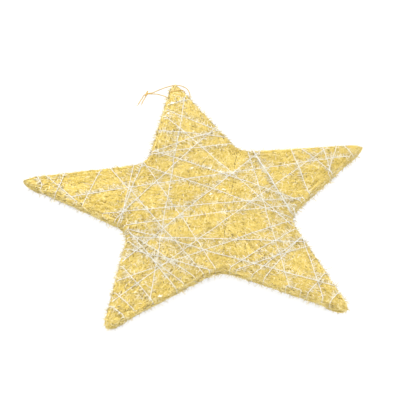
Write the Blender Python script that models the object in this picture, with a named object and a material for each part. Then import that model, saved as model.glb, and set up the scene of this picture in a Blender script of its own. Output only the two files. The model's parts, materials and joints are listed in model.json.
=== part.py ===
"""Five-pointed sisal star, wound with one long tinsel yarn and hung by a thread.

The star lies flat in the XY plane with its loop arm towards +Y and its crowned face up (+Z).
Metres. Positions along the rim run from 0 to 10, clockwise from the loop arm's tip: whole even
numbers are the tips, whole odd numbers the notches between two arms.
"""
import math

import bmesh
import bpy
import numpy as np
from mathutils import Vector
from mathutils.bvhtree import BVHTree

MM = 0.001

# The star's outline: a regular star, and how far each hand-made arm and notch departs from it.
ARMS = 5
ARM_REACH = 209 * MM
ARM_LONGER = (3.5 * MM, -1.5 * MM, 5.5 * MM, -4.0 * MM, -0.5 * MM)
ARM_TURN = (-1.6, -1.1, 0.8, 1.9, 1.2)
NOTCH_REACH = 96 * MM
NOTCH_LONGER = (0.5 * MM, 0.5 * MM, 4.5 * MM, -3.0 * MM, -2.0 * MM)
NOTCH_TURN = (-1.6, 2.7, -1.5, 0.3, -0.4)
TIP_RADIUS = 5.5 * MM
NOTCH_RADIUS = 25 * MM
OUTLINE_STEP = 22 * MM
ARC_STEP = 32
TIP_DRAW = 1.5

# Its thickness: a rounded rim, a slightly crowned face, and a flat back with a foot under each
# tip but the loop arm's, where the thread passes.
RIM_HALF_FACE = 4.5 * MM
RIM_HALF_BACK = 4.5 * MM
FACE_ROUND = 4.5 * MM
BACK_ROUND = 3.6 * MM
CROWN = 2.0 * MM
CROWN_FULLNESS = 1.3
FOOTED_ARMS = (1, 2, 3, 4)
FOOT_DEPTH = 4.0 * MM
FOOT_START = 28 * MM
FOOT_INSET = 5.6 * MM
FOOT_LEVEL = 16 * MM
RIM_HEIGHT = FOOT_DEPTH + RIM_HALF_BACK
# Where the mesh has its rings: as shares of the rounding, then of the way to the centre.
FACE_ROUND_RINGS = (0.16, 0.55, 1.0)
FACE_RINGS = (0.13, 0.28, 0.6)
BACK_ROUND_RINGS = (0.3, 1.0)
BACK_RINGS = (0.10, 0.20, 0.5)

# The tinsel yarn. It keeps its spacing to itself, and its gap to the star, by sliding a little
# along the rim or else going over in layers. Between the rims it climbs and falls gently.
YARN_DIAMETER = 1.1 * MM
YARN_SPACING = 1.3 * MM
YARN_SLOPE = 0.2
YARN_TOLERANCE = 0.35 * MM
YARN_SIDES = 4
TURN_ANGLES = (75, 25, -25, -75)
RIM_SLIDE = 0.008
RIM_SLIDES = 7
RIM_LAYERS = 7
CLEARING_PASSES = 6

# One front run of the yarn is a pair of places on the rim. The yarn goes round the rim at the
# end of each run and crosses the back to the start of the next one.
WINDING = (
    (4.48, 1.06), (2.88, 7.04), (8.89, 7.08), (8.98, 5.04),
    (3.11, 9.55), (0.72, 9.62), (0.28, 9.68), (0.23, 5.59),
    (6.26, 1.69), (2.21, 7.56), (8.64, 7.42), (8.22, 7.47),
    (6.95, 5.21), (6.66, 1.16), (2.43, 1.48), (2.72, 1.40),
    (2.79, 7.24), (8.71, 5.14), (3.06, 6.46), (5.73, 6.34),
    (5.31, 6.86), (3.02, 8.94), (7.13, 0.68), (9.37, 0.81),
    (9.13, 2.83), (1.11, 2.97), (6.90, 3.29), (4.88, 3.34),
    (4.76, 3.25), (4.93, 3.15), (5.09, 6.78), (2.92, 4.23),
    (3.74, 6.99), (9.09, 0.90),
)

# The gold thread that the star hangs by.
THREAD_DIAMETER = 1.2 * MM
THREAD_STEP = 3.6 * MM
THREAD_SIDES = 8
CURVE_READINGS = 12
TABLE_EASE = 0.1 * MM
PIECE_GAP = 0.3 * MM
WRAP_FROM_TIP = 13 * MM
WRAP_EASE = 0.5 * MM
WRAP_POINTS = 18
WRAP_FLATNESS = 0.4
KNOT_PLACE = (-40.8 * MM, 213.1 * MM)
KNOT_TURN = 30
KNOT_LENGTH = 7.6 * MM
KNOT_WIDTH = 5.6 * MM
KNOT_HEIGHT = 3.9 * MM
# Route points in millimetres: x, y and, off the table, the height of the thread's middle.
LONG_STRAND = (
    (1.2, 193.6, 0.9), (5.6, 193.8, 0.8), (10.0, 196.5), (12.3, 202.4), (12.6, 208.6),
    (11.2, 215.4), (8.0, 220.6), (3.6, 224.2), (-1.8, 226.0), (-8.0, 225.6), (-15.0, 223.8),
    (-22.0, 221.0), (-28.4, 218.0), (-33.4, 215.6), (-36.6, 214.7, 1.5),
)
SHORT_STRAND = (
    (-10.4, 197.0, 0.9), (-14.2, 201.8, 0.8), (-18.3, 206.2), (-22.7, 209.4), (-27.2, 212.0),
    (-31.6, 213.3), (-36.4, 213.2, 1.4),
)
OUTER_TAIL = ((-44.8, 211.2, 1.2), (-46.8, 207.2), (-49.9, 202.2), (-53.0, 196.2))
INNER_TAIL = ((-42.0, 209.6, 1.2), (-44.2, 206.0), (-46.6, 201.6), (-48.8, 196.4))

SISAL = (0.83, 0.66, 0.31)
TINSEL = (0.86, 0.85, 0.78)
GOLD_THREAD = (0.72, 0.53, 0.20)


def empty_scene():
    for obj in list(bpy.data.objects):
        bpy.data.objects.remove(obj, do_unlink=True)


def material(name, colour, roughness, metallic=0.0):
    mat = bpy.data.materials.new(name)
    mat.use_nodes = True
    shader = mat.node_tree.nodes["Principled BSDF"]
    shader.inputs["Base Color"].default_value = (*colour, 1.0)
    shader.inputs["Roughness"].default_value = roughness
    shader.inputs["Metallic"].default_value = metallic
    mat.diffuse_color = (*colour, 1.0)
    return mat


def mesh_object(name, bm, mat):
    mesh = bpy.data.meshes.new(name)
    bm.to_mesh(mesh)
    bm.free()
    mesh.shade_smooth()
    mesh.materials.append(mat)
    obj = bpy.data.objects.new(name, mesh)
    bpy.context.collection.objects.link(obj)
    return obj


def polar(reach, degrees_from_y):
    """A point at a distance from the centre, at an angle clockwise from +Y."""
    angle = math.radians(degrees_from_y)
    return Vector((reach * math.sin(angle), reach * math.cos(angle)))


def sharp_corners():
    """Tips and notches in turn, before rounding.

    A tip's rounding circle ends at the arm's reach. The arm's sides are tangents to it from the
    two notches, and they meet at the sharp tip.
    """
    notches = [
        polar(NOTCH_REACH + NOTCH_LONGER[i], (i + 0.5) * 360 / ARMS + NOTCH_TURN[i])
        for i in range(ARMS)
    ]
    corners = []
    for i in range(ARMS):
        outward = tip_point(i).normalized()
        centre = tip_point(i) - outward * TIP_RADIUS
        half_angle = 0.0
        for notch in (notches[i - 1], notches[i]):
            side = notch - centre
            half_angle += 0.5 * (side.angle(-outward) - math.asin(TIP_RADIUS / side.length))
        corners.append(centre + outward * (TIP_RADIUS / math.sin(half_angle)))
        corners.append(notches[i])
    return corners


def fillet(before, corner, after, radius):
    """The arc that rounds a corner, as points from its first tangent point to its last."""
    to_before = (before - corner).normalized()
    to_after = (after - corner).normalized()
    half_angle = to_before.angle(to_after) / 2
    centre = corner + (to_before + to_after).normalized() * (radius / math.sin(half_angle))
    start = corner + to_before * (radius / math.tan(half_angle)) - centre
    end = corner + to_after * (radius / math.tan(half_angle)) - centre
    sweep = start.angle_signed(end)
    count = max(3, math.ceil(abs(sweep) / math.radians(ARC_STEP)))
    return [centre + rotated(start, -sweep * k / count) for k in range(count + 1)]


def rotated(vector, angle):
    cosine, sine = math.cos(angle), math.sin(angle)
    return Vector((vector.x * cosine - vector.y * sine, vector.x * sine + vector.y * cosine))


def star_outline():
    """The rounded outline, clockwise, as (point, place on the rim) pairs."""
    corners = sharp_corners()
    arcs = []
    for i, corner in enumerate(corners):
        radius = NOTCH_RADIUS if i % 2 else TIP_RADIUS
        arcs.append(fillet(corners[i - 1], corner, corners[(i + 1) % len(corners)], radius))
    outline = []
    for i, arc in enumerate(arcs):
        corner, following = corners[i], corners[(i + 1) % len(corners)]
        taken_before = (arc[0] - corner).length / (corners[i - 1] - corner).length
        taken_after = (arc[-1] - corner).length / (following - corner).length
        for k, point in enumerate(arc):
            share = k / (len(arc) - 1)
            place = i - taken_before * (1 - share) + taken_after * share
            outline.append((point, place % len(corners)))
        start, end = arc[-1], arcs[(i + 1) % len(corners)][0]
        left = (following - end).length / (following - corner).length
        count = max(1, round((end - start).length / OUTLINE_STEP))
        for k in range(1, count):
            share = closer_to_tip(k / count, i % 2 == 0)
            place = i + taken_after * (1 - share) + (1 - left) * share
            outline.append((start.lerp(end, share), place))
    return outline


def closer_to_tip(share, tip_first):
    """Even shares of a side, drawn towards its tip, where the arm bends down."""
    return share**TIP_DRAW if tip_first else 1 - (1 - share) ** TIP_DRAW


def smooth_step(value):
    value = min(max(value, 0.0), 1.0)
    return value * value * (3 - 2 * value)


def edge_distance(corners):
    """How far the star's sides pass from its centre, on average."""
    total = 0.0
    for i, corner in enumerate(corners):
        side = corners[(i + 1) % len(corners)] - corner
        total += abs(corner.cross(side)) / side.length
    return total / len(corners)


def tip_point(arm):
    return polar(ARM_REACH + ARM_LONGER[arm], arm * 360 / ARMS + ARM_TURN[arm])


def foot(spot):
    """How much deeper the back is near a tip: a foot that the star stands on."""
    from_tip = min((spot - tip_point(arm)).length for arm in FOOTED_ARMS)
    return FOOT_DEPTH * smooth_step((FOOT_START - from_tip) / (FOOT_START - FOOT_LEVEL))


def round_over(inset, radius):
    """Quarter circle: 0 at the rim, 1 from the radius inwards."""
    return math.sqrt(max(0.0, 1 - (1 - min(inset / radius, 1.0)) ** 2))


def face_height(inset, depth):
    crown = CROWN * math.sin(0.5 * math.pi * min(inset / depth, 1.0)) ** CROWN_FULLNESS
    return RIM_HEIGHT + RIM_HALF_FACE * round_over(inset, FACE_ROUND) + crown


def back_height(inset, spot):
    return RIM_HEIGHT - (RIM_HALF_BACK + foot(spot)) * round_over(inset, BACK_ROUND)


def make_star(outline, mat):
    """Rings of the outline shrunk towards the centre, face and back, joined at the rim."""
    depth = edge_distance(sharp_corners())
    face_insets = [FACE_ROUND * share for share in FACE_ROUND_RINGS]
    face_insets += [depth * share for share in FACE_RINGS]
    back_insets = [BACK_ROUND * share for share in BACK_ROUND_RINGS] + [FOOT_INSET]
    back_insets += [depth * share for share in BACK_RINGS]
    bm = bmesh.new()

    def ring(inset, height):
        points = [point * (1 - inset / depth) for point, _ in outline]
        return [bm.verts.new((p.x, p.y, height(inset, p))) for p in points]

    def band(outer, inner, face_up):
        for k in range(len(outer)):
            n = (k + 1) % len(outer)
            quad = (outer[k], inner[k], inner[n], outer[n])
            bm.faces.new(quad if face_up else quad[::-1])

    rim = ring(0.0, back_height)
    centre = Vector((0, 0))
    for face_up, insets, height in (
        (True, face_insets, lambda inset, spot: face_height(inset, depth)),
        (False, back_insets, back_height),
    ):
        previous = rim
        for inset in insets:
            current = ring(inset, height)
            band(previous, current, face_up)
            previous = current
        middle = bm.verts.new((0, 0, height(depth, centre)))
        for k in range(len(previous)):
            triangle = (previous[k], middle, previous[(k + 1) % len(previous)])
            bm.faces.new(triangle if face_up else triangle[::-1])
    bmesh.ops.triangulate(bm, faces=bm.faces[:])
    bmesh.ops.recalc_face_normals(bm, faces=bm.faces[:])
    return mesh_object("sisal_star", bm, mat)


def clear_of(tree, point, away, distance):
    """The point moved away until it is a distance clear of the star."""
    for _ in range(CLEARING_PASSES):
        point = point + away * max(0.0, distance - tree.find_nearest(point)[3])
    return point


class Winder:
    """Lays yarn over the star: each run follows the face and steps over the yarn under it."""

    def __init__(self, star, outline):
        bm = bmesh.new()
        bm.from_mesh(star.data)
        self.tree = BVHTree.FromBMesh(bm)
        bm.free()
        self.places = [place for _, place in outline]
        self.points = [point for point, _ in outline]
        self.laid = np.empty((0, 3))
        self.fresh = []

    def rim_place(self, place):
        """The rim's point at a place, and its outward direction."""
        count = len(self.points)
        for k in range(count):
            span = (self.places[(k + 1) % count] - self.places[k]) % (2 * ARMS)
            past = (place - self.places[k]) % (2 * ARMS)
            if span > 0 and past <= span:
                start, end = self.points[k], self.points[(k + 1) % count]
                along = (end - start).normalized()
                return start.lerp(end, past / span), Vector((-along.y, along.x))
        raise ValueError(f"no rim place {place}")

    def near(self, points, reach):
        """How far each point is from the yarn already laid, up to a reach."""
        if not len(self.laid):
            return np.full(len(points), reach)
        gaps = np.linalg.norm(self.laid[None, :, :] - points[:, None, :], axis=2)
        return np.minimum(gaps.min(axis=1), reach)

    def off_star(self, points):
        """Whether yarn through these points keeps its gap to the star."""
        gap = min(self.tree.find_nearest(Vector(point))[3] for point in points)
        return gap >= PIECE_GAP + YARN_DIAMETER / 2

    def keep(self, points):
        """Remember a laid stretch. The last two, which the next one joins, are no obstacle."""
        self.fresh.append(samples_along(points))
        if len(self.fresh) > 2:
            self.laid = np.vstack((self.laid, self.fresh.pop(0)))

    def round_rim(self, place):
        """Four points that take the yarn round the rim, face to back.

        Where earlier yarn is in the way they slide a little along the rim, or else go over it.
        """
        for layer in range(RIM_LAYERS):
            for step in range(RIM_SLIDES):
                slide = RIM_SLIDE * ((step + 1) // 2) * (1 if step % 2 else -1)
                turn = self.turn_at(place + slide, layer * YARN_DIAMETER / 2)
                path = samples_along(turn)
                if self.near(path, YARN_SPACING).min() >= YARN_SPACING and self.off_star(path):
                    return turn
        return turn

    def turn_at(self, place, over):
        """The turn round the rim at a place, seen along the rim: part of an octagon about it."""
        point, outward = self.rim_place(place)
        centre = Vector((*(point - outward * RIM_HALF_FACE), RIM_HEIGHT))
        clear = PIECE_GAP + YARN_DIAMETER / 2 + YARN_TOLERANCE + over
        reach = (RIM_HALF_FACE + clear) / math.cos(math.radians(TURN_ANGLES[1]))
        turn = []
        for angle in TURN_ANGLES:
            rise, run = math.sin(math.radians(angle)), math.cos(math.radians(angle))
            away = Vector((*(outward * run), rise))
            turn.append(clear_of(self.tree, centre + away * reach, away, clear))
        return turn

    def lay(self, first, last, side):
        """One run across the face (side 1) or back (side -1), as points in space."""
        start, along = first.xy, (last - first).xy
        length = along.length
        count = max(2, math.ceil(length / MM))
        distances = np.linspace(0, length, count + 1)
        plan = np.array([start.lerp(last.xy, k / count) for k in range(count + 1)])
        needed = np.array([self.over_star(x, y, side) for x, y in plan])
        needed = np.maximum(needed, self.over_yarn(plan, needed, side))
        spread = needed[None, :] - YARN_SLOPE * np.abs(distances[:, None] - distances[None, :])
        heights = spread.max(axis=1)
        heights[0], heights[-1] = max(heights[0], first.z * side), max(heights[-1], last.z * side)
        kept = simplified(list(zip(distances, heights + YARN_TOLERANCE)), YARN_TOLERANCE)
        kept[0], kept[-1] = (0.0, heights[0]), (length, heights[-1])
        return [Vector((*start.lerp(last.xy, d / length), h * side)) for d, h in kept]

    def over_star(self, x, y, side):
        """Height at which a yarn is clear of the star."""
        clear = PIECE_GAP + YARN_DIAMETER / 2
        hit = self.tree.ray_cast(Vector((x, y, side * 1.0)), Vector((0, 0, -side)))[0]
        if hit is None:
            return -1.0
        height = hit.z * side + clear
        for _ in range(CLEARING_PASSES):
            distance = self.tree.find_nearest(Vector((x, y, height * side)))[3]
            height += max(0.0, clear - distance)
        return height

    def over_yarn(self, plan, needed, side):
        """Height at which a yarn is clear of what was laid before on that side."""
        result = needed.copy()
        if not len(self.laid):
            return result
        gaps = np.linalg.norm(self.laid[None, :, :2] - plan[:, None, :], axis=2)
        tops = self.laid[:, 2] * side
        lift = np.sqrt(np.maximum(YARN_SPACING**2 - gaps**2, 0.0))
        on_side = tops[None, :] > needed[:, None] - 2 * YARN_SPACING
        over = np.where((gaps < YARN_SPACING) & on_side, tops[None, :] + lift, -1.0)
        return np.maximum(result, over.max(axis=1))


def samples_along(points):
    """Points a millimetre apart along a line through points."""
    found = [np.array(points[0])]
    for a, b in zip(points, points[1:]):
        count = max(1, math.ceil((b - a).length / MM))
        found += [np.array(a.lerp(b, k / count)) for k in range(1, count + 1)]
    return np.array(found)


def simplified(pairs, tolerance):
    """The fewest of the pairs that keep a line within a tolerance of them all."""
    (low, low_value), (high, high_value) = pairs[0], pairs[-1]
    worst, where = tolerance, None
    for k, (at, value) in enumerate(pairs[1:-1], 1):
        off = abs(low_value + (high_value - low_value) * (at - low) / (high - low) - value)
        if off > worst:
            worst, where = off, k
    if where is None:
        return [pairs[0], pairs[-1]]
    return simplified(pairs[: where + 1], tolerance)[:-1] + simplified(pairs[where:], tolerance)


def yarn_route(winder):
    """Every point of the yarn: face run, round the rim, back run, round the rim, and on."""
    turn = winder.round_rim(WINDING[0][0])
    route = []
    for number, (_, end) in enumerate(WINDING):
        ahead = winder.round_rim(end)
        face_run = winder.lay(turn[0], ahead[0], 1)
        winder.keep(face_run)
        route += face_run
        if number == len(WINDING) - 1:
            break
        winder.keep(ahead)
        turn = winder.round_rim(WINDING[number + 1][0])
        back_run = winder.lay(ahead[3], turn[3], -1)
        winder.keep(back_run)
        winder.keep(turn)
        route += ahead[1:3] + back_run + turn[2:0:-1]
    return route


def tube(name, points, diameter, sides, mat, cyclic=False):
    """A tube of few sides along points, closed at both ends."""
    curve = bpy.data.curves.new(name, "CURVE")
    curve.dimensions = "3D"
    curve.bevel_depth = diameter / 2
    curve.bevel_resolution = (sides - 4) // 2
    curve.use_fill_caps = not cyclic
    spline = curve.splines.new("POLY")
    spline.points.add(len(points) - 1)
    for target, point in zip(spline.points, points):
        target.co = (*point, 1.0)
    spline.use_cyclic_u = cyclic
    curve.materials.append(mat)
    obj = bpy.data.objects.new(name, curve)
    bpy.context.collection.objects.link(obj)
    return obj


def smooth_route(points, step):
    """A Catmull-Rom curve through route points, read at even steps."""
    padded = [points[0] * 2 - points[1], *points, points[-1] * 2 - points[-2]]
    fine = []
    for p0, p1, p2, p3 in zip(padded, padded[1:], padded[2:], padded[3:]):
        for k in range(CURVE_READINGS):
            t = k / CURVE_READINGS
            fine.append(
                0.5 * (2 * p1 + (p2 - p0) * t + (2 * p0 - 5 * p1 + 4 * p2 - p3) * t**2
                       + (3 * p1 - p0 - 3 * p2 + p3) * t**3)
            )
    fine.append(points[-1].copy())
    lengths = [0.0]
    for a, b in zip(fine, fine[1:]):
        lengths.append(lengths[-1] + (b - a).length)
    count = max(2, round(lengths[-1] / step))
    route, k = [], 0
    for n in range(count + 1):
        at = lengths[-1] * n / count
        while k < len(fine) - 2 and lengths[k + 1] < at:
            k += 1
        route.append(fine[k].lerp(fine[k + 1], (at - lengths[k]) / (lengths[k + 1] - lengths[k])))
    return route


def on_table(points):
    """Route points given in millimetres as (x, y), or (x, y, height of the thread's middle)."""
    lowest = (THREAD_DIAMETER / 2 + TABLE_EASE) / MM
    return [Vector((p[0], p[1], p[2] if len(p) > 2 else lowest)) * MM for p in points]


def wrap_points(winder):
    """The turn of thread round the loop arm, a little clear of it all the way."""
    clear = PIECE_GAP + THREAD_DIAMETER / 2 + WRAP_EASE
    tip = tip_point(0)
    inward = -tip.normalized()
    across = Vector((-inward.y, inward.x, 0.0))
    centre = tip + inward * WRAP_FROM_TIP
    middle = Vector((*centre, RIM_HEIGHT))
    points = []
    for k in range(WRAP_POINTS):
        angle = math.tau * k / WRAP_POINTS
        outward = across * math.cos(angle) + Vector((0, 0, WRAP_FLATNESS * math.sin(angle)))
        hit = winder.tree.ray_cast(middle + outward, -outward)[0]
        away = outward.normalized()
        points.append(clear_of(winder.tree, hit + away * clear, away, clear))
    return points


def make_knot(mat):
    """An overhand knot's outer shape: a squat drop lying along the thread."""
    bm = bmesh.new()
    bmesh.ops.create_uvsphere(bm, u_segments=10, v_segments=6, radius=0.5)
    for vert in bm.verts:
        vert.co.x *= KNOT_LENGTH
        vert.co.y *= KNOT_WIDTH
        vert.co.z *= KNOT_HEIGHT
    knot = mesh_object("hanger_knot", bm, mat)
    knot.location = (*KNOT_PLACE, KNOT_HEIGHT / 2)
    knot.rotation_euler.z = math.radians(KNOT_TURN)
    return knot


def make_hanger(winder, mat):
    tube("hanger_wrap", wrap_points(winder), THREAD_DIAMETER, THREAD_SIDES, mat, cyclic=True)
    for name, points in (
        ("hanger_strand_long", LONG_STRAND),
        ("hanger_strand_short", SHORT_STRAND),
        ("hanger_tail_outer", OUTER_TAIL),
        ("hanger_tail_inner", INNER_TAIL),
    ):
        route = smooth_route(on_table(points), THREAD_STEP)
        tube(name, route, THREAD_DIAMETER, THREAD_SIDES, mat)
    make_knot(mat)


def set_down(measured):
    """Move everything so that the origin is under the middle of the star and its yarn."""
    bpy.context.view_layer.update()
    corners = [obj.matrix_world @ Vector(c) for obj in measured for c in obj.bound_box]
    middle = [(min(c[k] for c in corners) + max(c[k] for c in corners)) / 2 for k in range(2)]
    holder = bpy.data.objects.new("star_ornament", None)
    bpy.context.collection.objects.link(holder)
    for obj in bpy.data.objects:
        if obj != holder:
            obj.parent = holder
    holder.location = (-middle[0], -middle[1], 0)


def main():
    empty_scene()
    sisal = material("sisal fibre", SISAL, 0.75)
    tinsel = material("tinsel yarn", TINSEL, 0.35, 0.3)
    gold = material("gold thread", GOLD_THREAD, 0.5, 0.2)
    outline = star_outline()
    star = make_star(outline, sisal)
    winder = Winder(star, outline)
    tube("tinsel_yarn", yarn_route(winder), YARN_DIAMETER, YARN_SIDES, tinsel)
    star_and_yarn = list(bpy.data.objects)
    make_hanger(winder, gold)
    set_down(star_and_yarn)


main()
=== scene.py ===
# %% [markdown]
# # A star of sisal fibre, wound with tinsel yarn
#
# The real object is a flat, handmade star about 40 cm across. Loose sisal, the straw-coloured
# fibre that rope is made of, is pressed into a star 1.5 cm thick, and one long eyelash yarn with
# silver film whiskers binds it crosswise. A gold thread round one arm hangs it up.
#
# The imported model gives the true sizes and the places. This script dresses it: the fibres, the
# yarn's core and whiskers, and the twisted thread are all real geometry, made in whole arrays with
# numpy, so they hold up from every side.

# %% Load the imported model
import json
import math

import bpy
import numpy as np
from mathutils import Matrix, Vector

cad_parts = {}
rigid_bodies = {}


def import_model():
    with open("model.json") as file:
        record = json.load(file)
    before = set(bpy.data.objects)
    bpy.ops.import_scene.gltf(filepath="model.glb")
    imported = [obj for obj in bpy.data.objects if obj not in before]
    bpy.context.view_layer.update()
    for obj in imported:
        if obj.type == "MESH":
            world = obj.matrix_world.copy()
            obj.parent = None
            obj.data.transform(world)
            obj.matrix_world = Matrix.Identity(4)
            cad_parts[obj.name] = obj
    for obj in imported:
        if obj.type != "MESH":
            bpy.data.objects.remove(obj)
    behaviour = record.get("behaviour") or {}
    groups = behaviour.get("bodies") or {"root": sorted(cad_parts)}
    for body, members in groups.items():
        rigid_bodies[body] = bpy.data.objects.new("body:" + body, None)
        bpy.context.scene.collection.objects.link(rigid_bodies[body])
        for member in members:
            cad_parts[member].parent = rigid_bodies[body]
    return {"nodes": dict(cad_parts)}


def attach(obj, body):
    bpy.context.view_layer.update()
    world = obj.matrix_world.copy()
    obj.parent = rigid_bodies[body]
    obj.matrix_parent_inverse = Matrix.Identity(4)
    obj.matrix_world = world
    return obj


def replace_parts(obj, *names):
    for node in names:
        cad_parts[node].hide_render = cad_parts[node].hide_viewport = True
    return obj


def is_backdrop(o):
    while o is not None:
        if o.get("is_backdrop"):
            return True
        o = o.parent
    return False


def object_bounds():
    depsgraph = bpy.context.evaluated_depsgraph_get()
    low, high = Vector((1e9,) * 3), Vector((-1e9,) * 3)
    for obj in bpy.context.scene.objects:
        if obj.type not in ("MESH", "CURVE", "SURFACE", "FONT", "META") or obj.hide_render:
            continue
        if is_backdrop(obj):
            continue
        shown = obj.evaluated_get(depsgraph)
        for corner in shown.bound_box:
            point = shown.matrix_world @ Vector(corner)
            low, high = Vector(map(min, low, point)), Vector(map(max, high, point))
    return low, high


for left_over in list(bpy.data.objects):
    bpy.data.objects.remove(left_over, do_unlink=True)
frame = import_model()
cad_low, cad_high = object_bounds()
MM = 0.001
rng = np.random.default_rng(2212)
print("solids:", ", ".join(sorted(frame["nodes"])))

# %% [markdown]
# ## Where the star is
#
# Every piece needs the star's outline. The solid's widest ring of points lies at one height, so
# those points are the outline, and the highest point of the face is its middle. A smoothed line
# through the ring then gives two functions of the compass angle round the middle: how far the rim
# is, and which way it faces.

# %% The outline as functions of the angle
RIM_HEIGHT = 8.5 * MM
SAME_LEVEL = 0.01 * MM
OUTLINE_STEP = 1.2 * MM


def node_points(node):
    """A solid's corner points, each once, as an array of x, y and z."""
    mesh = frame["nodes"][node].data
    flat = np.empty(len(mesh.vertices) * 3, np.float32)
    mesh.vertices.foreach_get("co", flat)
    return np.unique(flat.reshape(-1, 3).astype(float).round(7), axis=0)


def even_steps(line, step):
    """A line of points, with whatever else each row holds, read again at even steps."""
    strides = np.linalg.norm(np.diff(line[:, :3], axis=0), axis=1)
    travelled = np.concatenate([[0], np.cumsum(strides)])
    places = np.linspace(0, travelled[-1], max(3, round(travelled[-1] / step) + 1))
    return np.stack([np.interp(places, travelled, column) for column in line.T], axis=1)


def smooth_loop(corners, step, reach=3):
    """A closed line through corners at even steps, each point the mean of those around it."""
    loop = even_steps(np.vstack([corners, corners[:1]]), step)[:-1]
    return np.mean([np.roll(loop, shift, axis=0) for shift in range(-reach, reach + 1)], axis=0)


def angle_at(place):
    """The angle of a place given from the middle, clockwise from +Y."""
    return np.arctan2(place[..., 0], place[..., 1])


def reach_at(place):
    """How far a place given from the middle is from it."""
    return np.hypot(place[..., 0], place[..., 1])


def compass(angle):
    """The direction of an angle clockwise from +Y: its sine, then its cosine."""
    return np.stack([np.sin(angle), np.cos(angle)], axis=-1)


star_points = node_points("sisal_star")
MIDDLE = star_points[star_points[:, 2].argmax(), :2]
ring = star_points[abs(star_points[:, 2] - RIM_HEIGHT) < SAME_LEVEL, :2] - MIDDLE
ring = ring[np.argsort(angle_at(ring))]
outline = smooth_loop(ring, OUTLINE_STEP)
outline_angles, outline_reaches = angle_at(outline), reach_at(outline)
along = np.roll(outline, -1, axis=0) - np.roll(outline, 1, axis=0)
outline_faces = np.stack([-along[:, 1], along[:, 0]], axis=1)
outline_faces /= np.linalg.norm(outline_faces, axis=1)[:, None]


def rim_reach(angle):
    """How far the rim is from the middle at an angle, read between the outline's points."""
    return np.interp(angle, outline_angles, outline_reaches, period=math.tau)


def rim_facing(angle):
    """The outward direction of the rim at an angle."""
    facing = np.stack([np.interp(angle, outline_angles, outline_faces[:, k], period=math.tau)
                       for k in range(2)], axis=-1)
    return facing / np.linalg.norm(facing, axis=-1, keepdims=True)


print(f"rim: {len(ring)} points, {outline_reaches.min() / MM:.0f} to "
      f"{outline_reaches.max() / MM:.0f} mm from the middle")

# %% [markdown]
# ## The camera
#
# The star lies flat and the photograph looks down on it from about 45 degrees, a little from the
# left of the loop arm. The lens is long, so the far arms hardly shrink. The camera aims at the
# star's middle, and a small lens shift moves the middle to where the picture has it. The values
# are those that bring the outline's corners closest to the picture's.

# %% Camera
VIEW_TURN, VIEW_ELEVATION, VIEW_DISTANCE = math.radians(-8.494), math.radians(44.663), 1.4998
FRAME_PIXELS, FOCAL_PIXELS, SENSOR = 400, 1320.6, 36
MIDDLE_PIXEL = (204.16, 210.64)

camera_data = bpy.data.cameras.new("photo_camera")
camera_data.sensor_width = SENSOR
camera_data.lens = SENSOR * FOCAL_PIXELS / FRAME_PIXELS
camera_data.shift_x = (FRAME_PIXELS / 2 - MIDDLE_PIXEL[0]) / FRAME_PIXELS
camera_data.shift_y = (MIDDLE_PIXEL[1] - FRAME_PIXELS / 2) / FRAME_PIXELS
back = Vector((math.sin(VIEW_TURN) * math.cos(VIEW_ELEVATION),
               -math.cos(VIEW_TURN) * math.cos(VIEW_ELEVATION), math.sin(VIEW_ELEVATION)))
camera = bpy.data.objects.new("photo_camera", camera_data)
camera.location = Vector((*MIDDLE, 0)) + back * VIEW_DISTANCE
camera.rotation_euler = (-back).to_track_quat("-Z", "Y").to_euler()
bpy.context.scene.collection.objects.link(camera)
bpy.context.scene.camera = camera
print(f"camera at {camera.location.x:.3f}, {camera.location.y:.3f}, {camera.location.z:.3f} m")

# %% [markdown]
# ## Materials
#
# Sisal is a dry plant fibre: straw gold, matt, with a faint silky sheen along each fibre, and every
# fibre differs a little in colour. So each fibre carries its own tone as an attribute, and a colour
# ramp turns the tone into a colour. Random grains along a fibre change it again, where other fibres
# too fine to draw would cross it. A few fibres are stained brown, and the same brown paints short
# flecks of shadow between fibres. The dense pad under the fibres is painted darker: painted shade.
# The eyelash yarn has a dull white core and whiskers of metallised film, whose tones are painted:
# a pale glint on most, a dull brown reflection on the rest. The hanger is a twisted gold thread.
# The light is bright, so these colours are darker than the pixels of the picture.

# %% Colours and nodes
def linear(hex_colour):
    """An sRGB hex colour as the linear values that the shader works with."""
    srgb = np.array([int(hex_colour[k:k + 2], 16) for k in (1, 3, 5)]) / 255
    values = np.where(srgb <= 0.04045, srgb / 12.92, ((srgb + 0.055) / 1.055) ** 2.4)
    return (*values, 1.0)


def add(tree, kind, settings=(), **links):
    """Adds one shader node: its settings by name, its inputs from values or other sockets.

    An input is found by its name, or by its place where several share a name: _2 is the third.
    """
    node = tree.nodes.new(kind)
    for name, value in dict(settings).items():
        setattr(node, name, value)
    for name, value in links.items():
        socket = node.inputs[int(name[1:]) if name[1:].isdigit() else name.replace("_", " ")]
        if isinstance(value, bpy.types.NodeSocket):
            tree.links.new(value, socket)
        else:
            socket.default_value = value
    return node


def new_material(name, **surface):
    """An empty material with a Principled shader whose plain values are set by name."""
    material = bpy.data.materials.new(name)
    material.use_nodes = True
    shader = material.node_tree.nodes["Principled BSDF"]
    for socket, value in surface.items():
        shader.inputs[socket.replace("_", " ")].default_value = value
    return material, material.node_tree, shader


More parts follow.
